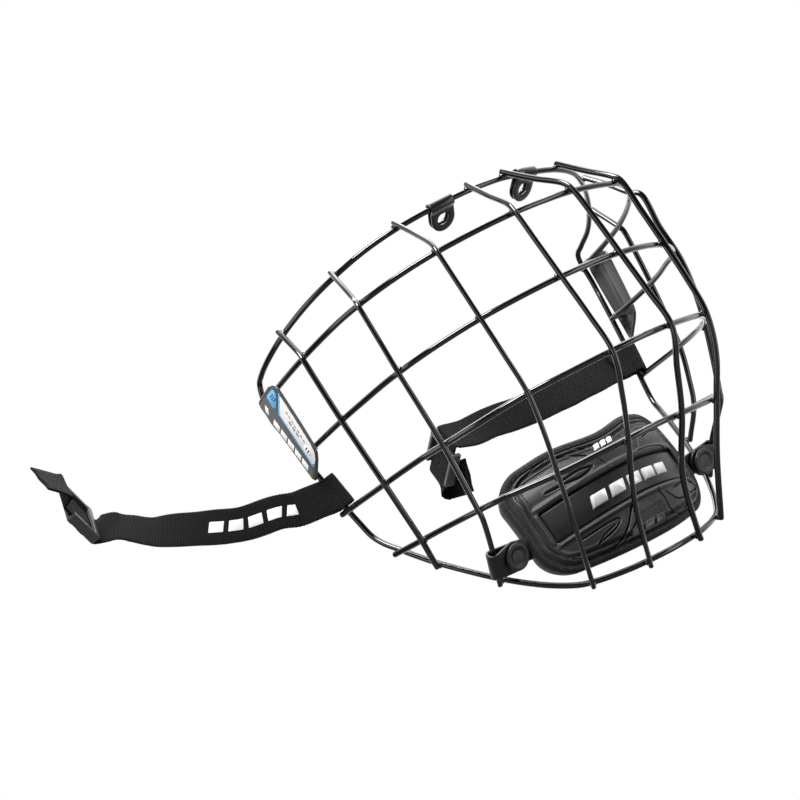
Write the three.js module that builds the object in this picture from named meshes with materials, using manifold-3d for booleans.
// Hockey helmet cage: a welded wire face guard with its chin cup, side plates,
// mounting tabs and two chin straps.
// Millimetres. +X to the wearer's left, +Y to the back, +Z up.
// Curves are laid out about the middle of the second cross wire; the whole
// assembly is then moved so that the origin is on the upper flat face of the
// right mounting tab, beside its screw hole, where the cage meets the helmet.
import * as THREE from 'three';
import { mergeVertices } from 'three/addons/utils/BufferGeometryUtils.js';
import Module from 'manifold-3d';

// ---------------------------------------------------------------- wire dimensions
const RIM_WIRE_R = 1.3;          // rim and cross wires are round
const CROSS_WIRE_R = 1.3;
const UPRIGHT_HALF_W = 1.05;     // uprights are oval wire set on edge
const UPRIGHT_HALF_D = 1.4;
const WIRE_SIDES = 6;
const WIRE_STEPS = 10;           // curve samples per span, before thinning
const CHORD_TOLERANCE = 0.12;    // a thinned wire strays no further than this
const HEAD_CENTRE = [0, 90, -15]; // wire sections face away from this point
const OUTWARD_Z_WEIGHT = 0.35;   // keeps that facing direction close to level
const GAP = 0.3;                 // usual clearance between neighbouring pieces

// ---------------------------------------------------------------- wire tables
// Centrelines as x, y, z. Left uprights, outermost first, each from top to bottom.
const UPRIGHTS = [
  [ // beside the side plate
    [98.11, 82.05, 58.5], [98.28, 80.98, 55.69], [99.66, 75.51, 41.44], [100.06, 75.12, 39.3],
    [99.24, 77.32, 23.95], [97.99, 79.84, 8.66], [96.12, 82.7, -8.13], [94.07, 85.81, -24.77],
    [91.05, 90.5, -39.09], [87.81, 95.58, -51.22], [82.97, 104.24, -61.25], [81.79, 106.18, -63.48],
  ],
  [ // the chin cup hangs on its foot
    [78.05, 52.13, 62.84], [78.61, 51.1, 61.04], [81.74, 45.39, 51.73], [84.52, 40.19, 41.83],
    [86.72, 37.21, 37.9], [86.24, 39.73, 19.18], [86.4, 41.39, 1.72], [84.81, 44.8, -14.1],
    [82.26, 49.91, -29.71], [79.48, 56.6, -44.85], [76.61, 63.65, -59.04], [75.89, 65.21, -62.21],
    [70.31, 81.14, -74.51], [67.83, 93.89, -86.15],
  ],
  [
    [49.52, 31.68, 65.26], [49.82, 30.1, 63.24], [51.56, 21.83, 52.64], [54.56, 12.62, 40.85],
    [55.73, 10.99, 36.92], [55.8, 11.9, 19.08], [55.83, 13.01, 1.21], [55.63, 14.56, -18.11],
    [55.03, 17.09, -35.73], [53.39, 25.56, -51.87], [49.97, 38.13, -66.59], [45.03, 56.26, -87.2],
    [41.4, 73.08, -107.78], [41, 74.92, -109.98],
  ],
  [ // nearest the centre plane
    [10.69, 22.45, 66.43], [11.01, 21.38, 64.99], [13.73, 11.57, 52.98], [16.9, 0.68, 40.43],
    [17.42, -0.73, 35.97], [17.75, -0.99, 17.61], [17.75, -0.77, -1.06], [17.76, -0.47, -21.8],
    [18.02, 0.72, -39.89], [17, 12.38, -54.21], [16.75, 26.83, -69.6], [15.33, 49.06, -89.56],
    [15.84, 64.19, -113.34], [16, 65.48, -115.69],
  ],
];
// Left halves of the cross wires, top wire first, each from the centre plane back.
const CROSS_WIRES = [
  [
    [0, 0.5, 36.08], [8.33, 0.98, 36.23], [16.3, 2.12, 36.45], [34.44, 6.42, 36.82],
    [53.26, 13.21, 37.19], [64.55, 20.31, 37.73], [74.45, 29.59, 38.46], [82.19, 39.52, 39.14],
    [88.13, 49.72, 39.76], [93.16, 62.12, 40.21], [96.76, 75.46, 40.87], [98.47, 87.36, 41.72],
    [99.3, 100.43, 42.81], [99.51, 110.44, 43.69], [99.53, 118.81, 44.39],
  ],
  [
    [0, 0.13, 0.55], [8.88, 0.74, 0.66], [17.58, 2.1, 0.9], [35.63, 6.77, 1.36],
    [53.81, 15.11, 2.31], [65.08, 22.37, 2.88], [75.84, 31.81, 3.63], [83.95, 42.46, 4.54],
    [87.74, 52.54, 5.76], [91.92, 65.08, 6.87], [94.78, 78.1, 8.33], [96.27, 91.69, 9.98],
    [96.87, 105.27, 11.72], [96.99, 114.5, 12.94], [97, 121.91, 13.94],
  ],
  [
    [0, 0.34, -38.9], [8.11, 1.09, -38.75], [16.14, 2.8, -38.38], [34.45, 9.21, -37.19],
    [52.31, 18.65, -35.3], [62.14, 27.34, -34.03], [70.86, 38.02, -32.49], [78.55, 50.01, -30.59],
    [84.41, 60.75, -28.56], [88.39, 72.33, -26.68], [90.95, 84.77, -24.62], [93.39, 97.87, -22.49],
    [95.45, 110.54, -20.37], [97.16, 123.09, -18.35],
  ],
  [
    [0, 28.14, -69.12], [7.93, 28.75, -69.07], [15.77, 30.13, -68.91], [31.04, 34.29, -68.2],
    [46.87, 40.7, -66.67], [56.53, 46.47, -64.66], [65.41, 54.09, -62.12], [72.93, 63.58, -59.62],
    [77.3, 72.62, -57.44], [80.75, 83.01, -54.96], [83.67, 93.9, -52.44], [86.8, 105.61, -49.81],
    [89.6, 116.85, -47.18],
  ],
];
// Left half of the rim, from its top centre round the side to its bottom centre.
const RIM_HALF = [
  [0, 23.57, 64.12], [11.5, 24.55, 64.28], [30.55, 28.09, 63.83], [49.58, 33.9, 63.14],
  [64.44, 42.2, 62.3], [76.3, 53.8, 61.29], [86.28, 66.72, 59.82], [95.21, 82.04, 57.22],
  [100.57, 96.9, 54.35], [101.55, 108.31, 52.67], [101.42, 114.06, 50.97], [103, 119.01, 36.45],
  [101.46, 119.57, 24.99], [99.88, 120.1, 14.17], [97.97, 120.72, 2.3], [96.08, 121.28, -8.42],
  [93.77, 121.88, -20.49], [92.86, 122.08, -24.97], [91.19, 121.91, -33.57], [89.64, 119.65, -39.5],
  [87.18, 116.38, -45.37], [83.63, 111.99, -53.46], [79.94, 107.78, -61.02],
  [74.45, 102.04, -70.54], [68.41, 96.28, -80.07], [63.25, 91.82, -87.14], [58.24, 87.88, -93.15],
  [52.23, 83.58, -99.31], [44.09, 78.46, -105.55], [37.5, 74.95, -108.34], [25.5, 69.94, -111.23],
  [17.54, 67.67, -112.35], [0, 64.75, -113.41],
];

// ---------------------------------------------------------------- vectors and curves
const wasm = await Module();
wasm.setup();

const vec = (a) => new THREE.Vector3(a[0], a[1], a[2]);
// shift(point, axis, distance, axis, distance, ...)
function shift(point, ...steps) {
  const moved = point.clone();
  for (let i = 0; i < steps.length; i += 2) moved.addScaledVector(steps[i], steps[i + 1]);
  return moved;
}
// unit vector along the part of v square to a unit axis
const squareTo = (v, axis) => shift(v, axis, -v.dot(axis)).normalize();
const mirrorPoint = ([x, y, z]) => [-x, y, z];

function smooth(controls, stepsPerSpan, closed = false) {
  const curve = new THREE.CatmullRomCurve3(controls.map(vec), closed, 'centripetal');
  const count = (closed ? controls.length : controls.length - 1) * stepsPerSpan;
  const points = [];
  for (let i = 0; i <= (closed ? count - 1 : count); i++) points.push(curve.getPoint(i / count));
  return points;
}
// drop samples that a straight chord replaces to within the tolerance
function thin(points) {
  const keep = new Array(points.length).fill(false);
  keep[0] = keep[points.length - 1] = true;
  const split = (first, last) => {
    const chord = new THREE.Line3(points[first], points[last]);
    const foot = new THREE.Vector3();
    let worst = -1;
    let worstDistance = CHORD_TOLERANCE;
    for (let i = first + 1; i < last; i++) {
      chord.closestPointToPoint(points[i], true, foot);
      const distance = foot.distanceTo(points[i]);
      if (distance > worstDistance) {
        worstDistance = distance;
        worst = i;
      }
    }
    if (worst > 0) {
      keep[worst] = true;
      split(first, worst);
      split(worst, last);
    }
  };
  split(0, points.length - 1);
  return points.filter((_, i) => keep[i]);
}
function tangents(points, closed = false) {
  const n = points.length;
  return points.map((_, i) => {
    const before = points[closed ? (i + n - 1) % n : Math.max(i - 1, 0)];
    const after = points[closed ? (i + 1) % n : Math.min(i + 1, n - 1)];
    return after.clone().sub(before).normalize();
  });
}
const tangentAt = (points, i, reach) => points[i + reach].clone().sub(points[i - reach]).normalize();
const nearestIndex = (points, distance) => points.reduce(
  (best, point, i) => (distance(point) < distance(points[best]) ? i : best), 0);

// ---------------------------------------------------------------- solids
function flipTriangles(triangles) {
  for (let i = 0; i < triangles.length; i += 3) {
    [triangles[i], triangles[i + 1]] = [triangles[i + 1], triangles[i]];
  }
  return triangles;
}
// closed mesh, turned right side out if its signed volume is negative
function meshGeometry(points, triangles) {
  let volume = 0;
  for (let i = 0; i < triangles.length; i += 3) {
    const [a, b, c] = [0, 1, 2].map((k) => points[triangles[i + k]]);
    volume += a.dot(b.clone().cross(c)) / 6;
  }
  const g = new THREE.BufferGeometry();
  const coordinates = points.flatMap((p) => [p.x, p.y, p.z]);
  g.setAttribute('position', new THREE.Float32BufferAttribute(coordinates, 3));
  g.setIndex(volume < 0 ? flipTriangles(triangles) : triangles);
  return g;
}
function weld(g) {
  g.deleteAttribute('normal');
  g.deleteAttribute('uv');
  return mergeVertices(g, 1e-4);
}
function toSolid(geometry) {
  const g = weld(geometry.clone());
  return new wasm.Manifold(new wasm.Mesh({
    numProp: 3,
    vertProperties: new Float32Array(g.attributes.position.array),
    triVerts: new Uint32Array(g.index.array),
  }));
}
function fromSolid(solid) {
  const mesh = solid.getMesh();
  const g = new THREE.BufferGeometry();
  g.setAttribute('position', new THREE.Float32BufferAttribute(mesh.vertProperties, 3));
  g.setIndex(Array.from(mesh.triVerts));
  return g;
}
const union = (...bodies) => fromSolid(bodies.map(toSolid).reduce((a, b) => a.add(b)));
const cut = (body, ...tools) => fromSolid(
  tools.map(toSolid).reduce((a, b) => a.subtract(b), toSolid(body)));

function mirror(geometry) {
  const g = geometry.clone();
  const position = g.attributes.position;
  for (let i = 0; i < position.count; i++) position.setX(i, -position.getX(i));
  g.setIndex(flipTriangles(Array.from(g.index.array)));
  return g;
}
// put a geometry built about its own origin into a frame, right- or left-handed
function place(geometry, origin, xAxis, yAxis, zAxis) {
  const matrix = new THREE.Matrix4().makeBasis(xAxis, yAxis, zAxis).setPosition(origin);
  const g = geometry.clone().applyMatrix4(matrix);
  if (matrix.determinant() < 0) g.setIndex(flipTriangles(Array.from(g.index.array)));
  return g;
}
// outline raised from z = start
function extrude(shape, depth, start, curveSegments = 8) {
  const g = new THREE.ExtrudeGeometry(shape, { depth, bevelEnabled: false, curveSegments });
  return weld(g).translate(0, 0, start);
}
const ellipse = (radiusA, radiusB, sides) => Array.from({ length: sides }, (_, i) => {
  const angle = ((i + 0.5) / sides) * 2 * Math.PI;
  return [radiusA * Math.cos(angle), radiusB * Math.sin(angle)];
});
const rectangle = (a0, a1, b0, b1) => [[a0, b0], [a1, b0], [a1, b1], [a0, b1]];

// solid swept along points; axes[i] holds the two section axes at point i
function sweep(points, axes, section, closed = false) {
  const m = section.length;
  const n = points.length;
  const triangles = [];
  const corners = points.flatMap((point, i) => section.map(
    ([a, b]) => shift(point, axes[i][0], a, axes[i][1], b)));
  for (let i = 0; i < (closed ? n : n - 1); i++) {
    const next = ((i + 1) % n) * m;
    for (let j = 0; j < m; j++) {
      const k = (j + 1) % m;
      triangles.push(i * m + j, i * m + k, next + k, i * m + j, next + k, next + j);
    }
  }
  if (!closed) {
    const end = (n - 1) * m;
    for (let j = 1; j < m - 1; j++) triangles.push(0, j + 1, j, end, end + j, end + j + 1);
  }
  return meshGeometry(corners, triangles);
}
// straight bar centred on a point
function bar(centre, direction, halfLength, axes, section) {
  const ends = [shift(centre, direction, -halfLength), shift(centre, direction, halfLength)];
  return sweep(ends, [axes, axes], section);
}
// solid between two surfaces sampled on the same grid
function slab(nu, nv, front, back) {
  const points = [];
  const triangles = [];
  const id = (side, i, j) => (side * (nu + 1) + i) * (nv + 1) + j;
  for (const surface of [front, back]) {
    for (let i = 0; i <= nu; i++) {
      for (let j = 0; j <= nv; j++) points.push(surface(i / nu, j / nv));
    }
  }
  const quad = (a, b, c, d) => triangles.push(a, b, c, a, c, d);
  for (let i = 0; i < nu; i++) {
    for (let j = 0; j < nv; j++) {
      quad(id(0, i, j), id(0, i + 1, j), id(0, i + 1, j + 1), id(0, i, j + 1));
      quad(id(1, i, j), id(1, i, j + 1), id(1, i + 1, j + 1), id(1, i + 1, j));
    }
  }
  for (let i = 0; i < nu; i++) {
    quad(id(0, i, 0), id(1, i, 0), id(1, i + 1, 0), id(0, i + 1, 0));
    quad(id(0, i + 1, nv), id(1, i + 1, nv), id(1, i, nv), id(0, i, nv));
  }
  for (let j = 0; j < nv; j++) {
    quad(id(0, 0, j + 1), id(1, 0, j + 1), id(1, 0, j), id(0, 0, j));
    quad(id(0, nu, j), id(1, nu, j), id(1, nu, j + 1), id(0, nu, j + 1));
  }
  return meshGeometry(points, triangles);
}

// ---------------------------------------------------------------- materials
const standard = (settings) => new THREE.MeshStandardMaterial(settings);
const MATERIALS = {
  wire: standard({ color: 0x141413, roughness: 0.28, metalness: 0.35 }),
  tab: standard({ color: 0x2a2927, roughness: 0.35, metalness: 0.5 }),
  plate: standard({ color: 0x4c4b49, roughness: 0.35, metalness: 0 }),
  webbing: standard({ color: 0x111110, roughness: 0.9, metalness: 0 }),
  slider: standard({ color: 0x3d3d3b, roughness: 0.4, metalness: 0 }),
  foam: standard({ color: 0x2b2a27, roughness: 0.6, metalness: 0 }),
  liner: standard({ color: 0x1a1a19, roughness: 0.95, metalness: 0 }),
  binding: standard({ color: 0x161615, roughness: 0.85, metalness: 0 }),
  panel: standard({ color: 0x0c0c0c, roughness: 0.4, metalness: 0 }),
  badge: standard({ color: 0xc8c8c6, roughness: 0.25, metalness: 0.8 }),
  band: standard({ color: 0x101010, roughness: 0.35, metalness: 0 }),
  cap: standard({ color: 0x1d2022, roughness: 0.4, metalness: 0 }),
};

function addPart(group, name, geometry, material) {
  const mesh = new THREE.Mesh(geometry, material);
  mesh.name = name;
  group.add(mesh);
}
// parts: [name, left-hand geometry, material, name ending]
function addBothSides(group, parts) {
  for (const [side, toSide] of [['left', (g) => g], ['right', mirror]]) {
    for (const [name, geometry, material, ending = ''] of parts) {
      addPart(group, `${name}_${side}${ending}`, toSide(geometry), material);
    }
  }
}

// ---------------------------------------------------------------- wire guard
// section axes at each point: [across, outward]
function outwardAxes(points, closed) {
  const centre = vec(HEAD_CENTRE);
  return tangents(points, closed).map((tangent, i) => {
    const away = points[i].clone().sub(centre);
    away.z *= OUTWARD_Z_WEIGHT;
    const outward = squareTo(away, tangent);
    return [outward.clone().cross(tangent).normalize(), outward];
  });
}
function openWire(controls, halfAcross, halfOutward) {
  const points = thin(smooth(controls, WIRE_STEPS));
  return sweep(points, outwardAxes(points, false), ellipse(halfAcross, halfOutward, WIRE_SIDES));
}
function rimWire() {
  const loop = [...RIM_HALF, ...RIM_HALF.slice(1, -1).reverse().map(mirrorPoint)];
  const dense = smooth(loop, WIRE_STEPS, true);
  // thinning needs the loop's first point again at its end
  const points = thin([...dense, dense[0].clone()]).slice(0, -1);
  const section = ellipse(RIM_WIRE_R, RIM_WIRE_R, WIRE_SIDES);
  return sweep(points, outwardAxes(points, true), section, true);
}
function addWires(guard) {
  addPart(guard, 'rim_wire', rimWire(), MATERIALS.wire);
  UPRIGHTS.forEach((controls, i) => {
    const upright = openWire(controls, UPRIGHT_HALF_W, UPRIGHT_HALF_D);
    addBothSides(guard, [['upright', upright, MATERIALS.wire, `_${i + 1}`]]);
  });
  CROSS_WIRES.forEach((half, i) => {
    const controls = [...half.slice(1).reverse().map(mirrorPoint), ...half];
    const crossWire = openWire(controls, CROSS_WIRE_R, CROSS_WIRE_R);
    addPart(guard, `cross_wire_${i + 1}`, crossWire, MATERIALS.wire);
  });
}

// ---------------------------------------------------------------- mounting tabs
// a strip folded over the top of the rim, its two drilled layers lying together
const TAB_X = 25.6;
const TAB_WIDTH = 12.6;
const TAB_SHEET = 0.9;
const TAB_LAYER = TAB_SHEET + 0.1;   // the flat layers are slightly thicker
const TAB_GAP = 1.2;                 // between the two layers
const TAB_HOLE_R = 3.0;
const TAB_HOLE_DIST = 7.2;           // rim wire centre to screw hole centre
const TAB_SLEEVE_R = RIM_WIRE_R + 0.4; // inside of the fold round the wire
const TAB_DIR = [-0.20, 0.86, -0.47];
const ORIGIN_BESIDE_HOLE = 4.6;      // along the rim from the hole centre

// wire centre, direction along the rim, from the rim to the hole, and up off the face
function tabFrame() {
  const rim = smooth(RIM_HALF, 12);
  const i = nearestIndex(rim, (p) => (p.z > 40 ? Math.abs(p.x - TAB_X) : Infinity));
  const along = tangentAt(rim, i, 5);
  const out = squareTo(vec(TAB_DIR), along);
  return { centre: rim[i], along, out, normal: along.clone().cross(out).normalize() };
}
function mountTab({ centre, along, out, normal }) {
  const slit = Math.asin((TAB_GAP / 2 + 0.02) / TAB_SLEEVE_R);
  const fold = new THREE.Shape();
  fold.absarc(0, 0, TAB_SLEEVE_R + TAB_SHEET, slit * 0.6, 2 * Math.PI - slit * 0.6, false);
  fold.absarc(0, 0, TAB_SLEEVE_R, 2 * Math.PI - slit, slit, true);
  const sleeve = place(extrude(fold, TAB_WIDTH, -TAB_WIDTH / 2, 7),
    centre, out, normal, out.clone().cross(normal));

  const half = TAB_WIDTH / 2;
  const root = TAB_SLEEVE_R * 0.86;
  const outline = new THREE.Shape();
  outline.moveTo(root, -half);
  outline.lineTo(TAB_HOLE_DIST, -half);
  outline.absarc(TAB_HOLE_DIST, 0, half, -Math.PI / 2, Math.PI / 2, false);
  outline.lineTo(root, half);
  outline.closePath();
  const hole = new THREE.Path();
  hole.absarc(TAB_HOLE_DIST, 0, TAB_HOLE_R, 0, 2 * Math.PI, true);
  outline.holes.push(hole);
  const [upper, lower] = [TAB_GAP / 2, -TAB_GAP / 2 - TAB_LAYER].map((start) => place(
    extrude(outline, TAB_LAYER, start, 5), centre, out, normal.clone().cross(out), normal));

  const boreR = TAB_SLEEVE_R + 0.02;
  const bore = bar(centre, along, 12, [out, normal], ellipse(boreR, boreR, 14));
  return cut(union(sleeve, upper, lower), bore);
}

// ---------------------------------------------------------------- side plates
const PLATE_THICK = 1.4;
const PLATE_POINT = [106.1, 116.4, 42.6];       // on the plane of the outer face
const PLATE_NORMAL = [0.99479, -0.04883, -0.08949];
const PLATE_OUTLINE = [          // y, z of the outer face
  [109.4, 44.2], [103.4, 44.2], [100.2, 43.3], [98.5, 41.5], [98.2, 39.5],
  [101.0, 21.5], [103.2, 10.2], [104.6, 7.4], [107.9, 5.0], [116.4, 0.5],
  [118.4, 0.2], [119.7, 1.6], [119.5, 4.7], [118.4, 23.3], [117.4, 41.5],
  [116.6, 43.6], [114.5, 44.4],
];
const CLIP_HALF_LENGTH = 2.6;    // along the wire
const CLIP_HALF_HEIGHT = 2.5;
const CLIP_PAST_WIRE = 0.4;      // how far inside the wire centre the clip reaches
const CLIP_OVERLAP = 0.3;        // how far it sinks into the plate
const CLIP_Y = [106, 110];       // on the first and second cross wires

function sidePlate() {
  const normal = vec(PLATE_NORMAL).normalize();
  const on = vec(PLATE_POINT);
  const outerX = (y, z) => on.x - (normal.y * (y - on.y) + normal.z * (z - on.z)) / normal.x;
  const outer = PLATE_OUTLINE.map(([y, z]) => new THREE.Vector3(outerX(y, z), y, z));
  const inner = outer.map((point) => shift(point, normal, -PLATE_THICK));
  const m = outer.length;
  const triangles = [];
  const flat = PLATE_OUTLINE.map(([y, z]) => new THREE.Vector2(y, z));
  for (const [a, b, c] of THREE.ShapeUtils.triangulateShape(flat, [])) {
    triangles.push(a, b, c, m + a, m + c, m + b);
  }
  for (let i = 0; i < m; i++) {
    const j = (i + 1) % m;
    triangles.push(i, m + i, m + j, i, m + j, j);
  }
  const plate = meshGeometry([...outer, ...inner], triangles);

  // clips on the inner face hold the two upper cross wires
  const clips = CLIP_Y.map((clipY, wire) => {
    const points = smooth(CROSS_WIRES[wire], 12);
    const i = nearestIndex(points, (p) => Math.abs(p.y - clipY));
    const centre = points[i];
    const along = tangentAt(points, i, 2);
    const up = along.clone().cross(normal).normalize();
    const axes = [up.clone().cross(along).normalize(), up];
    const reach = outerX(centre.y, centre.z) - PLATE_THICK + CLIP_OVERLAP - centre.x;
    const block = rectangle(-CLIP_PAST_WIRE, reach, -CLIP_HALF_HEIGHT, CLIP_HALF_HEIGHT);
    const boreR = CROSS_WIRE_R + GAP;
    return {
      body: bar(centre, along, CLIP_HALF_LENGTH, axes, block),
      bore: bar(centre, along, 4, axes, ellipse(boreR, boreR, 14)),
    };
  });
  return cut(union(plate, ...clips.map((c) => c.body)), ...clips.map((c) => c.bore));
}

// ---------------------------------------------------------------- straps and sliders
const WEB_WIDTH = 16;
const WEB_THICK = 1.4;
const SLIDER_W = 21;             // across the webbing
const SLIDER_L = 19;             // along the webbing
const SLIDER_BAR = 1.6;          // bar thickness
const SLIDER_END_BAR = 3;        // bar lengths along the webbing
const SLIDER_MID_BAR = 4;
const SLIDER_CLEAR = 0.35;       // webbing face to bar
const SLIDER_SIDE_CLEAR = 0.5;   // webbing edge to side rail

// Centreline x, y, z, then the direction across the webbing. Each strap turns
// round the rim, then runs through its slider to its far end.
const STRAP_RIGHT = [
  [-111.347, 129.85, -5.142, -0.082, 0.379, -0.922],
  [-107.147, 126.869, -6.326, -0.022, 0.309, -0.951],
  [-103.252, 123.427, -7.55, 0.095, 0.165, -0.982],
  [-100.21, 120.588, -8.509, 0.158, 0.082, -0.984],
  [-97.757, 118.775, -8.887, 0.164, 0.074, -0.984],
  [-95.38, 117.674, -8.573, 0.164, 0.074, -0.984],
  [-93.109, 117.666, -8.196, 0.164, 0.074, -0.984],
  [-91.984, 118.451, -7.95, 0.164, 0.074, -0.984],
  [-91.679, 119.801, -7.798, 0.164, 0.074, -0.984],
  [-92.521, 121.944, -7.778, 0.164, 0.074, -0.984],
  [-94.403, 123.785, -7.953, 0.164, 0.074, -0.984],
  [-97.08, 125.268, -7.618, 0.158, 0.082, -0.984],
  [-101.065, 126.69, -6.793, 0.095, 0.165, -0.982],
  [-105.872, 128.698, -5.761, -0.022, 0.309, -0.951],
  [-110.218, 131.41, -4.599, -0.082, 0.379, -0.922],
  [-117.324, 135.12, -1.026, -0.087, 0.383, -0.92],
  [-130.34, 144.075, 3.594, -0.07, 0.372, -0.926],
  [-142.267, 151.331, 10.859, -0.138, 0.234, -0.962],
  [-154.464, 158.455, 19.056, -0.292, 0.008, -0.956],
  [-161.792, 163.117, 24.347, -0.327, -0.222, -0.919],
  [-168.357, 165.638, 30.557, -0.299, -0.279, -0.913],
  [-174.028, 166.921, 34.822, -0.296, -0.298, -0.907],
  [-179.931, 174.283, 39.81, -0.379, -0.4, -0.834],
  [-180.244, 173.891, 40.14, -0.379, -0.4, -0.834],
  [-183.056, 170.365, 43.109, -0.379, -0.4, -0.834],
  [-186.181, 166.447, 46.408, -0.379, -0.4, -0.834],
  [-190.348, 161.223, 50.807, -0.379, -0.4, -0.834],
  [-193.056, 157.827, 53.666, -0.379, -0.4, -0.834],
  [-193.368, 157.435, 53.996, -0.379, -0.4, -0.834],
  [-191.424, 152.003, 55.783, -0.271, -0.396, -0.878],
  [-193.585, 150.187, 56.524, -0.19, -0.389, -0.901],
  [-195.871, 148.376, 57.342, -0.124, -0.382, -0.916],
  [-198.689, 146.292, 58.344, -0.075, -0.375, -0.924],
  [-201.77, 144.175, 59.392, -0.059, -0.373, -0.926],
  [-204.819, 142.146, 60.404, -0.059, -0.373, -0.926],
];
const STRAP_LEFT = [
  [79.156, 116.371, -9.951, -0.255, -0.152, -0.955],
  [84.179, 117.608, -9.459, -0.239, -0.106, -0.965],
  [89.341, 118.036, -9, -0.207, -0.018, -0.978],
  [93.546, 117.963, -8.663, -0.189, 0.031, -0.982],
  [96.593, 118.281, -8.628, -0.187, 0.036, -0.982],
  [99.034, 119.186, -9.059, -0.187, 0.036, -0.982],
  [100.654, 120.802, -9.308, -0.187, 0.036, -0.982],
  [100.92, 122.169, -9.308, -0.187, 0.036, -0.982],
  [100.217, 123.359, -9.13, -0.187, 0.036, -0.982],
  [98.159, 124.299, -8.704, -0.187, 0.036, -0.982],
  [95.567, 124.279, -8.212, -0.187, 0.036, -0.982],
  [92.582, 123.569, -8.3, -0.189, 0.031, -0.982],
  [88.626, 121.971, -8.922, -0.207, -0.018, -0.978],
  [83.716, 119.857, -9.592, -0.239, -0.106, -0.965],
  [78.726, 118.315, -10.145, -0.255, -0.152, -0.955],
  [55.562, 115.153, -11.923, -0.125, -0.109, -0.986],
  [33.638, 113.24, -12.842, -0.039, -0.013, -0.999],
  [11.547, 112.352, -12.696, 0.004, 0.102, -0.995],
  [-8.478, 112.062, -11.166, -0.103, -0.025, -0.994],
  [-21.61, 111.347, -11.54, -0.265, -0.221, -0.939],
  [-35.515, 108.643, -10.296, -0.224, -0.343, -0.912],
  [-35.525, 109.206, -10.505, -0.224, -0.343, -0.912],
  [-35.621, 114.267, -12.386, -0.224, -0.343, -0.912],
  [-35.727, 119.89, -14.476, -0.224, -0.343, -0.912],
  [-35.869, 127.388, -17.262, -0.224, -0.343, -0.912],
  [-35.95, 131.699, -18.865, -0.224, -0.343, -0.912],
  [-35.961, 132.261, -19.074, -0.224, -0.343, -0.912],
  [-35.644, 133.667, -19.9, -0.225, -0.305, -0.925],
  [-34.39, 134.8, -21.511, -0.224, -0.175, -0.959],
  [-32.564, 134.139, -22.807, -0.216, 0.01, -0.976],
  [-31.478, 131.697, -23.69, -0.204, 0.159, -0.966],
  [-31.224, 127.757, -25.12, -0.189, 0.298, -0.936],
  [-31.578, 122.891, -26.71, -0.18, 0.362, -0.915],
  [-32.276, 118.119, -28.032, -0.18, 0.362, -0.915],
  [-32.897, 115.067, -29.033, -0.18, 0.362, -0.915],
];
const SLIDER_RIGHT = {
  centre: [-186.181, 166.447, 46.408],
  across: [-0.3791, -0.4001, -0.8344],
  along: [-0.5208, -0.653, 0.5498],
};
const SLIDER_LEFT = {
  centre: [-35.727, 119.89, -14.476],
  across: [-0.224, -0.3432, -0.9122],
  along: [-0.0177, 0.9372, -0.3483],
};

function strap(rows) {
  const points = smooth(rows, 2);
  const widthAt = (row) => vec(rows[row].slice(3));
  const axes = tangents(points).map((tangent, i) => {
    // two samples per row: every other one lies halfway between rows
    const across = squareTo(widthAt(i >> 1).lerp(widthAt((i + 1) >> 1), 0.5), tangent);
    return [across, tangent.clone().cross(across).normalize()];
  });
  const [w, t] = [WEB_WIDTH / 2, WEB_THICK / 2];
  return sweep(points, axes, rectangle(-w, w, -t, t));
}
// two side rails, one end bar behind the webbing and two bars in front of it
function slider(frame) {
  const across = vec(frame.across);
  const along = vec(frame.along);
  const normal = across.clone().cross(along).normalize();
  const block = (w0, w1, l0, l1, n0, n1) => {
    const g = new THREE.BoxGeometry(w1 - w0, l1 - l0, n1 - n0);
    g.translate((w0 + w1) / 2, (l0 + l1) / 2, (n0 + n1) / 2);
    return place(weld(g), vec(frame.centre), across, along, normal);
  };
  const halfW = SLIDER_W / 2;
  const halfL = SLIDER_L / 2;
  const railW = WEB_WIDTH / 2 + SLIDER_SIDE_CLEAR;
  const near = WEB_THICK / 2 + SLIDER_CLEAR;
  const far = near + SLIDER_BAR;
  return union(
    block(-halfW, -railW, -halfL, halfL, -far, far),
    block(railW, halfW, -halfL, halfL, -far, far),
    block(-halfW, halfW, -halfL, -halfL + SLIDER_END_BAR, -far, -near),
    block(-halfW, halfW, -SLIDER_MID_BAR / 2, SLIDER_MID_BAR / 2, near, far),
    block(-halfW, halfW, halfL - SLIDER_END_BAR, halfL, near, far),
  );
}

// ---------------------------------------------------------------- chin cup
const CUP_HALF_X = 48.5;
const CUP_CORNER_R = 11.5;
const CUP_SHELL = 3.6;
const CUP_LINER = 4.4;
const CUP_LINER_GAP = 0.5;       // shell to liner
const CUP_RAISE = 2.2;           // the front stands proud of the centre recess
const RECESS = { x: 0, halfX: 41.6, z: -77.4, halfZ: 7.6 };
const BADGE = { x: 2, halfX: 25, z: -78.2, halfZ: 3 };
const PANEL_THICK = 0.8;
const BADGE_THICK = 1.0;
const BADGE_BACK = -2.2 * GAP - PANEL_THICK; // depth of the badge's rear face
const BINDING_THICK = 1.8;
const BINDING_OFFSET = 0.75 + 1.1; // cup edge to the middle of the binding
const BINDING_CENTRE_Z = -77;

const cupTop = (x) => -52.6 + 3.8 * THREE.MathUtils.smoothstep(Math.abs(x), 0, 28);
const cupBottom = (x) => -102.7 + 8.0 * (x / 50) ** 2;
// y of the recess floor, bowed back at the sides and above and below z = -78
const cupBaseY = (x, z) => 63 + 16 * (Math.abs(x) / 42) ** 1.8
  + (z > -78 ? 0.0035 : 0.0125) * (z + 78) ** 2;
const cupSurface = (x, z, depth) => new THREE.Vector3(x, cupBaseY(x, z) + depth, z);

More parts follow.
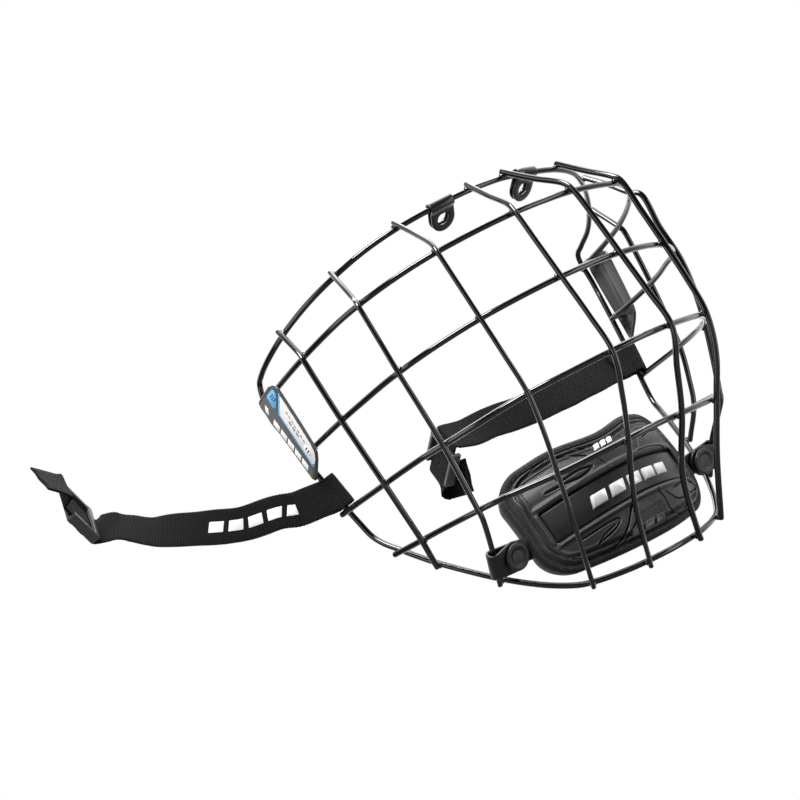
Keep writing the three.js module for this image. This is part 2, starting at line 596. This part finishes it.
// point of the cup: u across, v up, depth behind the recess floor
function cupPoint(u, v, depth, inset = 0) {
  const halfX = CUP_HALF_X - inset;
  const x = -halfX * Math.cos(Math.PI * u);
  const intoCorner = Math.max(CUP_CORNER_R - (halfX - Math.abs(x)), 0);
  const drop = CUP_CORNER_R - Math.sqrt(CUP_CORNER_R ** 2 - intoCorner ** 2);
  const z0 = cupBottom(x) + inset + drop;
  const z1 = cupTop(x) - inset - drop;
  return cupSurface(x, z0 + (z1 - z0) * v, depth);
}
const cupSheet = (depth, inset) => (u, v) => cupPoint(u, v, depth, inset);
// oblong patch that follows the cup's curve
const patch = (area, depth, inset = 0) => (u, v) => cupSurface(
  area.x + (area.halfX - inset) * (2 * u - 1), area.z + (area.halfZ - inset) * (2 * v - 1), depth);

function cupShell() {
  const body = slab(18, 6, cupSheet(-CUP_RAISE), cupSheet(CUP_SHELL));
  return cut(body, slab(14, 2, patch(RECESS, -12), patch(RECESS, 0)));
}
function cupLiner() {
  const front = CUP_SHELL + CUP_LINER_GAP;
  return slab(16, 4, cupSheet(front, 0.8), cupSheet(front + CUP_LINER, 1.2));
}
// a band round the whole edge of shell and liner
function cupBinding() {
  const N = 16;
  const ring = [];
  for (let i = 0; i <= N; i++) ring.push(cupPoint(i / N, 1, 0));
  for (let j = 1; j < 3; j++) ring.push(cupPoint(1, 1 - j / 3, 0));
  for (let i = N; i >= 0; i--) ring.push(cupPoint(i / N, 0, 0));
  for (let j = 1; j < 3; j++) ring.push(cupPoint(0, j / 3, 0));
  const back = new THREE.Vector3(0, 1, 0);
  const axes = tangents(ring, true).map((tangent, i) => {
    const outward = new THREE.Vector3(ring[i].x, 0, ring[i].z - BINDING_CENTRE_Z);
    return [squareTo(outward, tangent.setY(0).normalize()), back];
  });
  const halfT = BINDING_THICK / 2;
  const halfDepth = (CUP_RAISE + CUP_SHELL + GAP + CUP_LINER) / 2;
  const points = ring.map(
    (point, i) => shift(point, axes[i][0], BINDING_OFFSET, back, halfDepth - CUP_RAISE));
  return sweep(points, axes, rectangle(-halfT, halfT, -halfDepth, halfDepth), true);
}
function addCup(cup) {
  const panel = slab(14, 2, patch(RECESS, -GAP - PANEL_THICK, GAP), patch(RECESS, -GAP, GAP));
  const badge = slab(14, 1, patch(BADGE, BADGE_BACK - BADGE_THICK), patch(BADGE, BADGE_BACK));
  addPart(cup, 'cup_shell', cupShell(), MATERIALS.foam);
  addPart(cup, 'cup_liner', cupLiner(), MATERIALS.liner);
  addPart(cup, 'cup_panel', panel, MATERIALS.panel);
  addPart(cup, 'cup_badge', badge, MATERIALS.badge);
  addPart(cup, 'cup_binding', cupBinding(), MATERIALS.binding);
}

// ---------------------------------------------------------------- snap tabs
// a band round the foot of the second upright, closed by a snap; left side
const SNAP_CENTRE = [60, 84.4, -79.8];
const SNAP_NORMAL = [0, -0.848, -0.53];     // faces front and down
const SNAP_UP = [0, -0.53, 0.848];
const SNAP_WIRE_POINT = [69.4, 85.9, -78.85];
const SNAP_WIRE_AXIS = [0.142, -0.732, 0.668]; // up the wire
const BAND_HALF = 6.0;                      // half width, along the wire
const BAND_T = 1.3;
const BAND_INNER_R = UPRIGHT_HALF_D + 0.65;
const BAND_OUTER_R = BAND_INNER_R + BAND_T;
const BAND_MID_R = (BAND_INNER_R + BAND_OUTER_R) / 2;
// heights along the snap normal, from the snap centre
const FLAP_MID = 0.55;
const BASE_MID = FLAP_MID - BAND_T - GAP;
const STUD_BACK = BASE_MID + BAND_T / 2 + GAP;
const CAP_BACK = 3.7 - 1.5;
const CAP_PROFILE = [            // radius, height
  [0, 0], [5.9, 0], [6.15, 0.3], [6.15, 0.7], [5.6, 1.25], [4.2, 1.5], [0, 1.45],
];

function addSnaps(cup) {
  const up = vec(SNAP_UP);
  const normal = vec(SNAP_NORMAL);
  const centre = vec(SNAP_CENTRE);
  const across = normal.clone().cross(up).negate();
  const left = new THREE.Vector3(1, 0, 0);
  const wire = vec(SNAP_WIRE_POINT);
  const wireAxis = vec(SNAP_WIRE_AXIS).normalize();
  const wireFront = squareTo(normal, wireAxis);
  const wireOuter = wireAxis.clone().cross(wireFront).normalize();

  // arc of band round the wire, angles from the front towards the outer side
  const bandArc = (from, to) => {
    const outline = [];
    const steps = 5;
    const push = (radius, i) => {
      const angle = from + ((to - from) * i) / steps;
      outline.push(new THREE.Vector2(radius * Math.sin(angle), radius * Math.cos(angle)));
    };
    for (let i = 0; i <= steps; i++) push(BAND_OUTER_R, i);
    for (let i = steps; i >= 0; i--) push(BAND_INNER_R, i);
    const arc = extrude(new THREE.Shape(outline), 2 * BAND_HALF, -BAND_HALF);
    return place(arc, wire, wireOuter, wireFront, wireOuter.clone().cross(wireFront));
  };
  // flat of band from the wire's tangent line to the snap
  const bandFlat = (rootFront, tipX, tipHeight, tipHalf) => {
    const root = shift(wire, wireFront, rootFront);
    const tip = shift(centre, left, tipX, normal, tipHeight);
    const face = (offset) => (u, v) => {
      const side = 2 * v - 1;
      const rootPoint = shift(root, wireAxis, side * BAND_HALF, wireFront, offset);
      return rootPoint.lerp(shift(tip, up, side * tipHalf, normal, offset), u);
    };
    return slab(4, 2, face(BAND_T / 2), face(-BAND_T / 2));
  };
  const onSnap = (g, height) => place(
    weld(g), shift(centre, normal, height), across, normal, up);
  const disc = (radius, thick, back, sides = 16) => onSnap(
    new THREE.CylinderGeometry(radius, radius, thick, sides), back + thick / 2);

  const flapBody = union(
    bandArc(-0.35, 1.5),
    bandFlat(BAND_MID_R, -1.5, FLAP_MID, BAND_HALF),
    disc(6.6, BAND_T, FLAP_MID - BAND_T / 2),
  );
  const flap = cut(flapBody, disc(3.0, 6, FLAP_MID - 3));
  const base = union(
    bandArc(Math.PI - 0.15, Math.PI + 0.5),
    bandFlat(-BAND_MID_R, -7.2, BASE_MID, BAND_HALF - 0.5),
  );
  const stud = disc(2.4, FLAP_MID + BAND_T / 2 - STUD_BACK, STUD_BACK, 12);
  const profile = CAP_PROFILE.map(([radius, height]) => new THREE.Vector2(radius, height));
  const cap = onSnap(new THREE.LatheGeometry(profile, 16), CAP_BACK);
  addBothSides(cup, [
    ['snap_band', base, MATERIALS.band],
    ['snap_stud', stud, MATERIALS.cap],
    ['snap_flap', flap, MATERIALS.band],
    ['snap_cap', cap, MATERIALS.cap],
  ]);
}

// ---------------------------------------------------------------- assembly
const assembly = new THREE.Group();
const guard = new THREE.Group();
assembly.add(guard);
addWires(guard);
const tab = tabFrame();
addBothSides(guard, [['mount_tab', mountTab(tab), MATERIALS.tab]]);
addBothSides(assembly, [['side_plate', sidePlate(), MATERIALS.plate]]);
addPart(assembly, 'strap_right', strap(STRAP_RIGHT), MATERIALS.webbing);
addPart(assembly, 'strap_left', strap(STRAP_LEFT), MATERIALS.webbing);
addPart(assembly, 'slider_right', slider(SLIDER_RIGHT), MATERIALS.slider);
addPart(assembly, 'slider_left', slider(SLIDER_LEFT), MATERIALS.slider);
const cup = new THREE.Group();
assembly.add(cup);
addCup(cup);
addSnaps(cup);

// the origin is on the right tab, the mirror image of this point on the left one
const leftOrigin = shift(tab.centre, tab.out, TAB_HOLE_DIST,
  tab.normal, TAB_GAP / 2 + TAB_LAYER, tab.along, ORIGIN_BESIDE_HOLE);
assembly.position.set(leftOrigin.x, -leftOrigin.y, -leftOrigin.z);
const root = new THREE.Group();
root.add(assembly);
root.updateMatrixWorld(true);
export default root;
